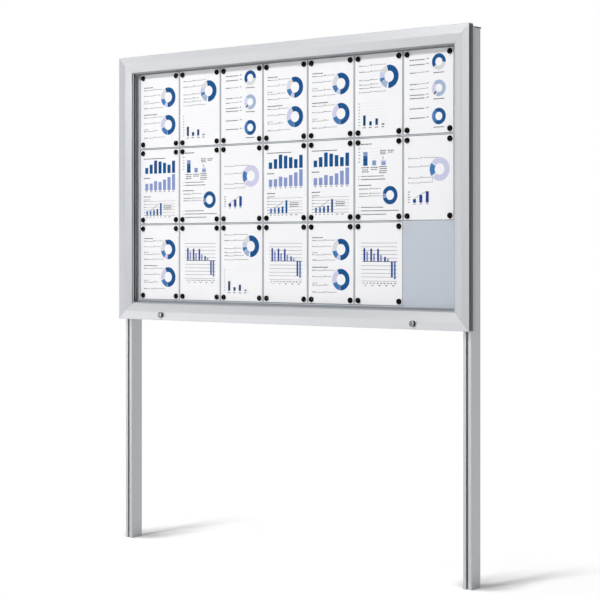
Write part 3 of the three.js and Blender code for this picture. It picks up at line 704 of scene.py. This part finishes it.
# %% Post caps
CAP_THICKNESS, CAP_ROUND = 3, 3
CAP_LEVELS = [(0, 0.4), (0.3, 0), (2.2, 0), (2.8, 0.3), (CAP_THICKNESS, 1.0)]  # height in the plate, inset
for hand in HANDS:
    low, high = board_box(f"post_cap_{hand}")
    loops = [(rounded_box(low.x + inset, low.y + inset, high.x - inset, high.y - inset, CAP_ROUND, 4),
              high.z - CAP_THICKNESS + up) for up, inset in CAP_LEVELS]
    mesh = bmesh.new()
    add_lofted(mesh, loops, place)
    finish_piece(f"post_cap_{hand}_moulding", mesh, [cap_plastic], "frame",
                 [f"post_cap_{hand}"])
print("cap plate: %.0f by %.0f mm" % (high.x - low.x, high.y - low.y))

# %% [markdown]
# The posters are A4 copy paper with office charts printed in blues and greys: ring charts, bar
# charts, and rows of fine grey strokes in place of words. They are laid out here in millimetres
# from the page's upper left corner. Each patch of ink is a real solid a few hundredths of a
# millimetre proud of the paper, so the print is in the mesh and not in a picture.

# %% Inks
# Offset ink on matt paper: flat colour with nearly no shine of its own.
INKS = {"deep_blue": "#12528D", "navy": "#23408F", "mid_blue": "#437AB4", "periwinkle": "#8A9ACB",
        "lavender": "#CFCFE8", "pale_grey": "#DCDDDF", "grey": "#7E8184", "dark_grey": "#3A3D40",
        "black_blue": "#123C66", "plum_grey": "#6E6488", "grey_blue": "#A6B8D2"}
inks = [plain_finish(f"printed_ink_{name}", colour, 0.8, 1.5, 0.02, 0.0, specular=0.1)
        for name, colour in INKS.items()]
ink_number = {name: i for i, name in enumerate(INKS)}
print("inks:", len(inks))

# %% Patches, bars and lines
PAGE_WIDTH, PAGE_HEIGHT = 210, 297
INK_FRONT, INK_BACK = 36.76, 36.95
marks = []  # the patches of the page that is being drawn


def on_page(x, down, depth):
    """A point of a page about its middle, as the frame's metres about the same point."""
    return Vector(((x - PAGE_WIDTH / 2) * MM, depth * MM, (PAGE_HEIGHT / 2 - down) * MM))


def mark(points, ink):
    """Adds a printed patch with those corners, in millimetres from the page's upper left."""
    marks.append(([Vector(p) for p in points], ink_number[ink]))


def bar(x, base, width, height, ink="dark_grey"):
    """A bar that stands on base, or hangs from it where its height is below zero."""
    left, right = x - width / 2, x + width / 2
    mark([(left, base), (right, base), (right, base - height), (left, base - height)], ink)


def stroke(x0, down0, x1, down1, width, ink="dark_grey"):
    """A straight line of that width."""
    along = Vector((x1 - x0, down1 - down0)).normalized() * width / 2
    across = Vector((-along.y, along.x))
    start, end = Vector((x0, down0)), Vector((x1, down1))
    mark([start - across, end - across, end + across, start + across], ink)


print("a page is", PAGE_WIDTH, "by", PAGE_HEIGHT, "mm")

# %% Rings and rows of words
RING_STEP = 6  # degrees between the points of a ring
WORD_LENGTHS, WORD_GAPS, WORDS_END = (5, 12), (1.2, 2.0), 2
MARGIN, LINE_WIDTH, WORD_HEIGHT = 20, 1.3, 2.6


def ring(x, down, outer, inner, parts):
    """A ring chart. Each part is (first, last, ink), in degrees clockwise from the top."""
    for first, last, ink in parts:
        steps = max(2, round((last - first) / RING_STEP))
        angles = [math.radians(first + (last - first) * i / steps) for i in range(steps + 1)]
        outside = [(x + outer * math.sin(a), down - outer * math.cos(a)) for a in angles]
        inside = [(x + inner * math.sin(a), down - inner * math.cos(a)) for a in reversed(angles)]
        mark(outside + inside, ink)


def words(x0, x1, down, height, seed, ink="dark_grey"):
    """A row of short strokes of uneven length, in place of words."""
    uneven = random.Random(seed)
    x = x0
    while x < x1 - WORDS_END:
        length = min(uneven.uniform(*WORD_LENGTHS), x1 - x)
        bar(x + length / 2, down + height / 2, length, height, ink)
        x += length + uneven.uniform(*WORD_GAPS)


def key_rows(value, rows):
    """Rows beside a ring chart: a label, a fine line, a value and a line on to the chart. Each row is
    (down, the label's length, the end of the line)."""
    for down, label, leader in rows:
        words(MARGIN, MARGIN + label, down, WORD_HEIGHT, down)
        stroke(MARGIN + 1 + label, down + 1, value - 4, down + 1, LINE_WIDTH)
        words(value - 3, value + 5, down - 1.5, WORD_HEIGHT, down)
        stroke(value + 7, down - 0.6, leader, down - 0.6, LINE_WIDTH)


print("a full ring has", 2 * (360 // RING_STEP + 1), "points")

# %% [markdown]
# Seven page designs fill the board. Each of the next cells draws the marks of one, and its print
# becomes one mesh that all its posters share.

# %% Painted edge shadow and print
EDGE_SHADOW_INSET, EDGE_SHADOW_WIDTH = 0.3, 1.7
prints = {}


def painted_edge_shadow():
    """A fine grey line round the page, close to its edges: painted shadow of the page's edges, in ink."""
    near, next_in = EDGE_SHADOW_INSET, EDGE_SHADOW_INSET + EDGE_SHADOW_WIDTH
    for x0, y0, x1, y1 in ((near, near, PAGE_WIDTH - near, next_in),
                           (near, PAGE_HEIGHT - next_in, PAGE_WIDTH - near, PAGE_HEIGHT - near),
                           (near, next_in, next_in, PAGE_HEIGHT - next_in),
                           (PAGE_WIDTH - next_in, next_in, PAGE_WIDTH - near, PAGE_HEIGHT - next_in)):
        mark([(x0, y0), (x1, y0), (x1, y1), (x0, y1)], "dark_grey")


def print_design(letter, name):
    """Makes the marks drawn so far and the painted edge shadow into the design's print, and starts a new
    page.
    """
    painted_edge_shadow()
    mesh = bmesh.new()
    for points, number in marks:
        add_prism(mesh, [points], lambda p, end: on_page(p.x, p.y, INK_FRONT if end else INK_BACK), number)
    marks.clear()
    prints[letter] = new_mesh(f"print_{name}", mesh, inks)
    print(letter, name, sum(len(p.vertices) - 2 for p in prints[letter].polygons), "triangles")


print("the frame stands", EDGE_SHADOW_INSET, "mm in from the page's edge")

# %% Two ring charts
x, outer, inner = 151, 39, 20
ring(x, 98, outer, inner, [(-25, 186, "deep_blue"), (189, 212, "lavender"), (214, 260, "mid_blue"),
                           (262, 332, "pale_grey")])
ring(x, 207, outer, inner, [(-25, 186, "deep_blue"), (188, 250, "mid_blue"), (253, 332, "lavender")])
for down, length in ((55, 50), (163, 74)):
    words(MARGIN, MARGIN + length, down, 3.2, length)
key_rows(77, [(65, 16, 124), (87, 4, 110), (117, 10, 108), (137, 20, 126), (174, 20, 124), (197, 6, 108),
              (228, 14, 96), (254, 22, 132)])
for down in (110, 221):
    words(MARGIN, 44, down, 2.2, down, "grey")
print_design("A", "two_rings")

# %% One ring chart over four bars
ring(151, 86, 41, 20, [(-14, 186, "deep_blue"), (195, 240, "grey_blue"), (242, 264, "mid_blue"),
                       (266, 300, "lavender"), (302, 343, "pale_grey")])
key_rows(73, [(42, 10, 138), (64, 26, 122), (94, 10, 104), (110, 10, 104), (122, 16, 116), (137, 8, 138)])
for x, height, ink in ((43, 37, "black_blue"), (70, 15, "black_blue"), (97, 24, "black_blue"),
                       (125, 5, "dark_grey")):
    bar(x, 256, 11, height, ink)
    words(x - 7, x + 7, 263, 3, x)
for i in range(8):
    down = 177 + 11 * i
    words(17, 24, down, 2.4, i, "grey")
    stroke(34, down, 130 + 3 * i, down, 0.5, "pale_grey")
print_design("B", "ring_and_bars")

# %% Three small ring charts
x, outer, inner = 148, 28.5, 14.5
ring(x, 49, outer, inner, [(-130, 96, "deep_blue"), (99, 226, "pale_grey")])
ring(x, 140, outer, inner, [(-48, 205, "grey_blue"), (214, 236, "plum_grey"), (240, 272, "lavender"),
                            (276, 308, "lavender")])
ring(x, 237, outer, inner, [(0, 212, "deep_blue"), (212, 330, "mid_blue"), (330, 360, "deep_blue")])
for down in (86, 177, 275):
    words(126, 170, down, 3, down)
for down, label in ((37, 62), (54, 62), (82, 24), (122, 34), (139, 20), (160, 60), (171, 62), (207, 62),
                    (240, 62)):
    words(26, 26 + label, down, 3, down)
    stroke(28 + label, down, 94, down - 1, LINE_WIDTH)
    words(98, 105, down - 2, 3, down)
    stroke(107, down - 1, 121, down - 1, 0.6, "pale_grey")
print_design("C", "three_rings")

# %% Two bar charts over a rising one
words(18, 134, 38, 3, 3)
first, pitch = 34.4, 24.2
for i, (tall, long) in enumerate(zip((24, 36, 52, 47, 41, 33, 48), (27, 28, 37, 33, 42, 51, 62))):
    x = first + pitch * i
    bar(x, 97, 16.5, tall, "deep_blue")
    bar(x, 164, 16.5, long, "periwinkle")
    bar(x, 170, 8, 3)
words(18, 52, 115, 3.4, 5)
words(18, 58, 189, 3.4, 6)
words(18, 56, 201, 2.4, 7, "grey")
for i, down in enumerate((207, 219, 230, 241, 252)):
    stroke(28, down, 188, down, 0.9)
    words(18, 28, down, 2.2, i)
base = 263
stroke(18, base, 188, base, 1.2)
for x, height, ink in ((37, 18, "mid_blue"), (55.5, 19, "mid_blue"), (74, 21, "deep_blue"),
                       (92.5, 25, "deep_blue"), (111, 48, "deep_blue")):
    bar(x, base, 9, height, ink)
    bar(x, 271, 7, 2.6)
stroke(46, 244, 70, 236, 1.4)
stroke(70, 236, 98, 218, 1.4)
for down in (225, 232, 238):
    words(127, 168, down, 3, down, "grey")
for x in (134, 158):
    bar(x, 271, 11, 2.6)
print_design("D", "bars_in_three_rows")

# %% Stacked bars over a ring chart
words(28, 76, 22, 3.2, 2)
for i, down in enumerate((38, 50, 61, 73, 85)):
    stroke(30, down, 120, down, 0.6, "pale_grey")
    words(17, 25, down, 2.2, i)
for x, base, width, height, ink in ((47.5, 99, 19, 34, "deep_blue"), (47.5, 65, 19, 15, "periwinkle"),
                                    (86, 99, 17, 18, "periwinkle"), (127, 99, 19, 12, "periwinkle"),
                                    (127, 87, 19, 6, "lavender")):
    bar(x, base, width, height, ink)
for x0, x1, down in ((30, 66, 106), (70, 102, 106), (108, 142, 104), (34, 60, 114), (72, 98, 113),
                     (110, 144, 111), (32, 64, 121), (108, 142, 119), (108, 140, 126), (112, 138, 47),
                     (112, 138, 53), (114, 138, 59), (146, 172, 48), (146, 170, 54)):
    words(x0, x1, down, 3, x1 + down)
stroke(125, 68, 125, 78, 3, "grey")
for x0, x1, down, height in ((28, 128, 137, 2.6), (28, 134, 148, 3), (16, 74, 169, 3.2),
                             (28, 126, 248, 2.8), (28, 192, 260, 2.8), (28, 138, 273, 2.8)):
    words(x0, x1, down, height, down)
    bar(18, down + 1, 3, 2.6)
key_rows(70, [(182, 40, 116), (199, 36, 116), (208, 24, 116)])
ring(155, 206, 32.5, 17, [(-78, 250, "deep_blue"), (253, 280, "periwinkle")])
print_design("E", "stack_and_ring")

# %% A pale ring chart over rising bars
ring(151, 120, 41, 20, [(-50, 220, "lavender"), (-55, -50, "pale_grey"), (235, 303, "mid_blue"),
                        (222, 233, "pale_grey")])
key_rows(75, [(80, 12, 144), (109, 6, 110), (148, 12, 122), (165, 8, 122)])
stroke(122, 146, 122, 165, 0.9)
for x, height in ((46.5, 13), (73, 27), (100, 39)):
    bar(x, 235, 12.5, height, "navy")
    bar(x, 241, 9, 3, "grey")
stroke(46, 221, 73, 206, LINE_WIDTH)
stroke(73, 206, 100, 194, LINE_WIDTH)
for i in range(5):
    words(19, 28, 197 + 9 * i, 2.6, i)
print_design("F", "pale_ring")

# %% Bars above and below a line
for down in (75, 88.5, 102, 115.5, 129, 156, 169.5, 183, 196, 210.5):
    stroke(28, down, 186, down, LINE_WIDTH, "grey")
base = 141
stroke(34, base, 186, base, 2.2)
for x, dark, pale in ((43, 48, 35), (73, 46, 29), (103, 45, 23), (133, 17, 10), (163, -56, -62)):
    bar(x, base, 8, dark, "navy")
    bar(x + 12.5, base, 8, pale, "periwinkle" if pale > 0 else "mid_blue")
    for shift, down in ((-2, 218), (14, 218), (6, 226)):
        words(x + shift - 4, x + shift + 4, down, 3.2, x)
print_design("G", "bars_up_and_down")

# %% [markdown]
# Each poster is three pieces: the sheet of paper, its print, and the four magnets that hold its
# corners. The paper and the magnets are built once too, and every poster uses the same meshes.

# %% Paper and magnets
PAPER_FRONT, PAPER_BACK, PAPER_CORNER = 36.85, 37.2, 0.8
MAGNET_RADIUS, MAGNET_INSET, MAGNET_FRONT, MAGNET_BACK = 10, 16, 31.8, 36.75
# A dished face inside a soft rim, as (in from the edge, back from the front)
MAGNET_FACE = [(0, 1.6), (0.3, 0.8), (1.2, 0.15), (2.2, 0), (3.4, 0.25), (MAGNET_RADIUS, 0.3)]
MAGNET_FOOT, MAGNET_SIDES = 0.4, 28

page = bmesh.new()
add_prism(page, [rounded_box(0, 0, PAGE_WIDTH, PAGE_HEIGHT, PAPER_CORNER, 2)],
          lambda p, end: on_page(p.x, p.y, PAPER_FRONT if end else PAPER_BACK))
page_mesh = new_mesh("a4_page", page, [copy_paper])

profile = [(0, MAGNET_BACK), (MAGNET_RADIUS - MAGNET_FOOT, MAGNET_BACK),
           (MAGNET_RADIUS, MAGNET_BACK - MAGNET_FOOT)]
profile += [(MAGNET_RADIUS - inset, MAGNET_FRONT + back) for inset, back in MAGNET_FACE]
discs = bmesh.new()
for x in (MAGNET_INSET, PAGE_WIDTH - MAGNET_INSET):
    for down in (MAGNET_INSET, PAGE_HEIGHT - MAGNET_INSET):
        add_lofted(discs, turned(profile, MAGNET_SIDES),
                   lambda a, b, depth: on_page(x + a, down + b, depth))
magnet_mesh = new_mesh("four_magnets", discs, [magnet_plastic])
print("magnets stand", round(MAGNET_BACK - MAGNET_FRONT, 2), "mm proud of the paper")

# %% Post the sheets
POSTED = ["ABCAABC", "DEFDDEF", "AGBGAG"]
for row, letters in enumerate(POSTED, 1):
    for column, letter in enumerate(letters, 1):
        node = f"posted_sheet_{row}_{column}"
        low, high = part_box(node)
        spot = ((low.x + high.x) / 2, DOOR_FRONT, (low.z + high.z) / 2)
        for part, data, replaced in (("paper", page_mesh, [node]), ("print", prints[letter], ()),
                                     ("magnets", magnet_mesh, ())):
            show(f"poster_{row}_{column}_{part}", data, "frame", replaced, spot)
print("posted:", [len(row) for row in POSTED])

# %% [markdown]
# A cam lock is a chromed barrel whose head stands proud of the rail, and a plug that turns in it.
# Behind its bright face the head has a black collar, which shows as a black crescent from the
# side: painted reflection of the dark that a chromed side mirrors. The plug lies a little deeper
# than the rim, and its keyway is a real slot, cut right into it, so that it stays dark in every
# light. Circles and slots have the same number of points, so that one can run on into the other.

# %% Slots and hexagons
SLOT_BEND = 0.35  # the share of a circle's height that runs on as a slot's straight side


def slot_points(width, height):
    """The points of an upright slot with round ends, one for each point of a circle."""
    reach = (height - width) / 2
    points = []
    for point in ring_points(1):
        rise = point.y / SLOT_BEND if abs(point.y) <= SLOT_BEND else math.copysign(1, point.y)
        points.append(Vector((0, reach * rise)) + point * width / 2)
    return points


def hexagon_points(radius):
    """The points of a hexagon with corners at the sides, one for each point of a circle."""
    points = []
    for point in ring_points(radius):
        off_flat = (math.atan2(point.y, point.x) + math.pi / 6) % (math.pi / 3) - math.pi / 6
        points.append(point * math.cos(math.pi / 6) / math.cos(off_flat))
    return points


print("slots and hexagons have", len(slot_points(2, 7)), "points too")

# %% Locks
HEAD_RADIUS, BARREL_RADIUS, PLUG_RADIUS = 11, 8, 6
KEY_WIDTH, KEY_HEIGHT, KEY_DEEP = 2, 7, 3
LOCK_FRONT = board_box("lock_housing_left")[0].y
COLLAR_FRONT, COLLAR_BACK, COLLAR_ROUND = LOCK_FRONT + 1.5, -0.35, 0.3
PLUG_PLAY, PLUG_SUNK = 0.2, 0.45
# Turned edges, as (in from the edge, back from the front)
BORE_EDGE = [(0, 1.0), (0.4, 0.3), (0.9, 0)]
HEAD_EDGE = [(1.5, 0), (0.8, 0.2), (0.25, 0.7), (0.1, 1.4)]
LOCK_SMOOTH = 50  # degrees, so that the turned edges catch the light as one round

bore, shank = PLUG_RADIUS + PLUG_PLAY, BARREL_RADIUS - PLUG_PLAY
dark_reflection_collar = [(BARREL_RADIUS, COLLAR_FRONT), (HEAD_RADIUS - COLLAR_ROUND, COLLAR_FRONT),
          (HEAD_RADIUS, COLLAR_FRONT + COLLAR_ROUND), (HEAD_RADIUS, COLLAR_BACK - COLLAR_ROUND),
          (HEAD_RADIUS - 0.2, COLLAR_BACK), (BARREL_RADIUS, COLLAR_BACK)]
for hand in HANDS:
    low, high, at = about(f"lock_housing_{hand}")
    plug_end = board_box(f"lock_plug_{hand}")[1].y
    rim = [(bore, high.y)] + [(bore + out, LOCK_FRONT + back) for out, back in BORE_EDGE]
    rim += [(HEAD_RADIUS - inset, LOCK_FRONT + back) for inset, back in HEAD_EDGE]
    rim += [(shank, LOCK_FRONT + HEAD_EDGE[-1][1]), (shank, high.y)]
    mesh = bmesh.new()
    add_lofted(mesh, turned(rim), at, closed=True)
    finish_piece(f"lock_{hand}_chrome_barrel", mesh, [lock_chrome], "door",
                 [f"lock_housing_{hand}"], LOCK_SMOOTH)

    # The black collar is painted reflection: the dark crescent on the side of a chromed head.
    mesh = bmesh.new()
    add_lofted(mesh, turned(dark_reflection_collar), at, closed=True)
    finish_piece(f"lock_{hand}_collar", mesh, [magnet_plastic], "door")

    # From the keyway's floor out over its chamfer and the plug's face, and back along its side
    face, plug_side = LOCK_FRONT + PLUG_SUNK, ring_points(PLUG_RADIUS - 0.1)
    loops = [(slot_points(KEY_WIDTH - 0.1, KEY_HEIGHT - 0.1), face + KEY_DEEP),
             (slot_points(KEY_WIDTH, KEY_HEIGHT), face + 0.25),
             (slot_points(KEY_WIDTH + 0.3, KEY_HEIGHT + 0.3), face), (ring_points(PLUG_RADIUS - 0.5), face),
             (plug_side, face + 0.3), (plug_side, plug_end)]
    mesh = bmesh.new()
    add_lofted(mesh, loops, at)
    finish_piece(f"lock_{hand}_chrome_plug", mesh, [lock_chrome], f"lock_{hand}",
                 [f"lock_plug_{hand}"], LOCK_SMOOTH)
    print("lock %s: barrel to %.1f, plug to %.1f mm deep" % (hand, high.y, plug_end))

# %% [markdown]
# A gas strut is a black tube with a chromed rod that slides in it. The tube's open end is rolled in
# over the seal, and each end of the strut turns on a ball stud in a black nylon socket. The tube
# and the rod are turned profiles.

# %% Gas struts
STRUT_IN, STRUT_FOOT, STRUT_HEAD = 22, Vector((17, 640)), Vector((12, 920))  # studs: depth and height
STRUT_LENGTH = (STRUT_HEAD - STRUT_FOOT).length
STRUT_WAY = (STRUT_HEAD - STRUT_FOOT).normalized()
EYE_HOLE, EYE_RADIUS, EYE_HALF, SOCKET_RADIUS, END_ROUND = 4.3, 7.5, 3, 6, 0.4
TUBE_SIDES, ROD_SIDES, END_SIDES = 40, 32, 24

# Each profile is (radius, distance along the strut from its lower stud)
tube_profile = [(0, 12.5), (6.1, 12.5), (6.5, 13), (6.5, 193), (6.3, 195), (5.6, 197), (4.6, 198),
                (3.35, 198), (3.35, 190), (5.2, 190), (5.2, 17), (0, 17)]
neck_profile = [(0, 6.9), (2.9, 6.9), (2.9, 11), (4.4, 12.4), (0, 12.4)]
rod_profile = [(0, 29), (4.9, 29), (4.9, 39), (3, 39), (3, 271), (0, 271)]
ferrule_profile = [(0, 268), (4.1, 268), (4.5, 268.4), (4.5, 272), (3.4, 275), (0, 275)]
flank = EYE_HALF - END_ROUND
socket_profile = [(0, -EYE_HALF), (SOCKET_RADIUS - END_ROUND, -EYE_HALF), (SOCKET_RADIUS, -flank),
                  (SOCKET_RADIUS, flank), (SOCKET_RADIUS - END_ROUND, EYE_HALF), (0, EYE_HALF)]
eye_rim = [(EYE_HOLE, -EYE_HALF), (EYE_HOLE, EYE_HALF), (EYE_RADIUS - END_ROUND, EYE_HALF),
           (EYE_RADIUS, flank), (EYE_RADIUS, -flank), (EYE_RADIUS - END_ROUND, -EYE_HALF)]
for hand, sign in (("left", -1), ("right", 1)):
    strut_x = sign * (DOOR_WIDTH / 2 - STRUT_IN)

    def at(a, b, along):
        spot = STRUT_FOOT + STRUT_WAY * along + Vector((STRUT_WAY.y, -STRUT_WAY.x)) * b
        return place(strut_x + a, spot.x, spot.y)
    mesh = bmesh.new()
    add_lofted(mesh, turned(tube_profile, TUBE_SIDES), at)
    add_lofted(mesh, turned(neck_profile, END_SIDES), at, material=1)
    add_lofted(mesh, turned(eye_rim), lambda a, b, x: at(x, a, b), closed=True, material=1)
    finish_piece(f"strut_{hand}_turned_tube", mesh, [strut_paint, magnet_plastic], f"strut_{hand}_tube",
                 [f"strut_tube_{hand}"])
    mesh = bmesh.new()
    add_lofted(mesh, turned(rod_profile, ROD_SIDES), at)
    add_lofted(mesh, turned(ferrule_profile, END_SIDES), at, material=1)
    add_lofted(mesh, turned(socket_profile, ROD_SIDES), lambda a, b, x: at(x, a, STRUT_LENGTH + b),
               material=1)
    finish_piece(f"strut_{hand}_turned_rod", mesh, [lock_chrome, magnet_plastic], f"strut_{hand}_rod",
                 [f"strut_rod_{hand}"])
print("struts: %.1f mm from stud to stud" % STRUT_LENGTH)

# %% [markdown]
# The bolts that hang the case on the posts have hexagon heads whose corners are turned off at the
# front, and square nuts that slide in the post's slot.

# %% Post bolts
HEX_RADIUS, HEX_FACE, HEAD_THICKNESS, HEAD_TURNED = 7.5, 6.4, 5.3, 0.9
SHANK_RADIUS, SHANK_OVERLAP = 3.8, 0.5
NUT_HALF, NUT_THICKNESS, NUT_ROUND = 8, 5, 0.6
BOLT_SMOOTH = 20  # degrees

hexagon, face, shank = hexagon_points(HEX_RADIUS), ring_points(HEX_FACE), ring_points(SHANK_RADIUS)
nut_outline = rounded_box(-NUT_HALF, -NUT_HALF, NUT_HALF, NUT_HALF, NUT_ROUND)
for hand in HANDS:
    for level in ("upper", "lower"):
        node = f"post_bolt_{hand}_{level}"
        low, high, at = about(node)
        head_back, nut_front = low.y + HEAD_THICKNESS, high.y - NUT_THICKNESS
        mesh = bmesh.new()
        add_lofted(mesh, [(hexagon, head_back), (hexagon, low.y + HEAD_TURNED), (face, low.y)], at)
        add_lofted(mesh, [(shank, head_back - SHANK_OVERLAP), (shank, nut_front + SHANK_OVERLAP)], at)
        add_prism(mesh, [nut_outline], lambda p, end: at(p.x, p.y, high.y if end else nut_front))
        finish_piece(f"{node}_finished", mesh, [zinc_plate], "frame", [node], BOLT_SMOOTH)
print("bolt heads %.1f mm behind the door's front" % low.y)
